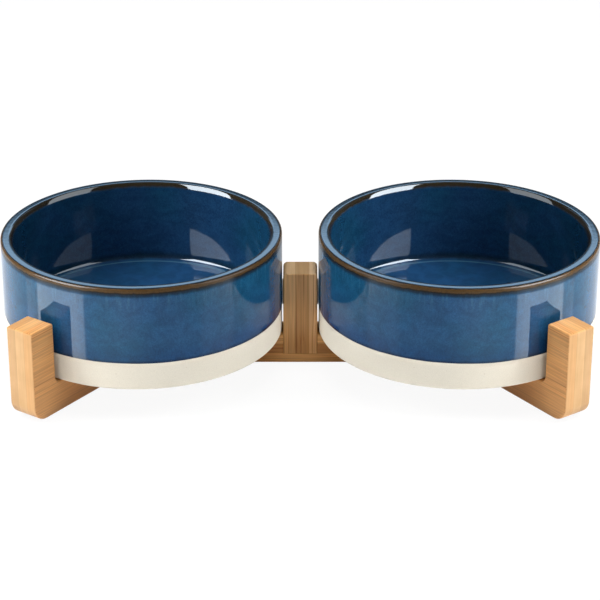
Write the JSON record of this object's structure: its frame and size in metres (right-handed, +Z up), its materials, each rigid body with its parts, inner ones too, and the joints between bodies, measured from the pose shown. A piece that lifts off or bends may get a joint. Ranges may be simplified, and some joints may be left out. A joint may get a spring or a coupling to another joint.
{
  "type": "double pet bowl",
  "caption": "Raised pet feeder: round glazed stoneware bowls that lift out of a low bamboo stand with corner uprights and a post between the bowls.",
  "frame": {"origin": "on the ground, under the middle of the stand, midway between the bowls", "axes": "+X along the stand from the left bowl to the right bowl, +Y from front to back, +Z up"},
  "size_m": [0.3322, 0.1662, 0.078],
  "materials": {
    "glazed_stoneware": "glossy reactive glaze, blue with a brown edge at the rim, over a bare cream clay band at the foot",
    "bamboo": "laminated bamboo under a thin satin lacquer",
    "rubber": "matte black",
    "dowel_wood": "bare turned beech",
    "steel": "zinc plated"
  },
  "bodies": {
    "stand": {"beam": "bamboo", "post": "bamboo", "arm_front_left": "bamboo", "arm_back_left": "bamboo", "arm_front_right": "bamboo", "arm_back_right": "bamboo", "bumper_post_left": "rubber", "bumper_post_right": "rubber", "bumper_front_left": "rubber", "bumper_back_left": "rubber", "bumper_front_right": "rubber", "bumper_back_right": "rubber", "dowel_front_left": "dowel_wood", "dowel_back_left": "dowel_wood", "dowel_front_right": "dowel_wood", "dowel_back_right": "dowel_wood", "foot_front_left": "rubber", "foot_back_left": "rubber", "foot_front_right": "rubber", "foot_back_right": "rubber", "post_screw": "steel"},
    "bowl_left": {"bowl_left": "glazed_stoneware"},
    "bowl_right": {"bowl_right": "glazed_stoneware"}
  },
  "joints": [
    {"name": "bowl_left_lift", "type": "slide", "parent": "stand", "child": "bowl_left", "axis": [0, 0, 1], "range_m": [0, 0.05]},
    {"name": "bowl_right_lift", "type": "slide", "parent": "stand", "child": "bowl_right", "axis": [0, 0, 1], "range_m": [0, 0.05]}
  ]
}
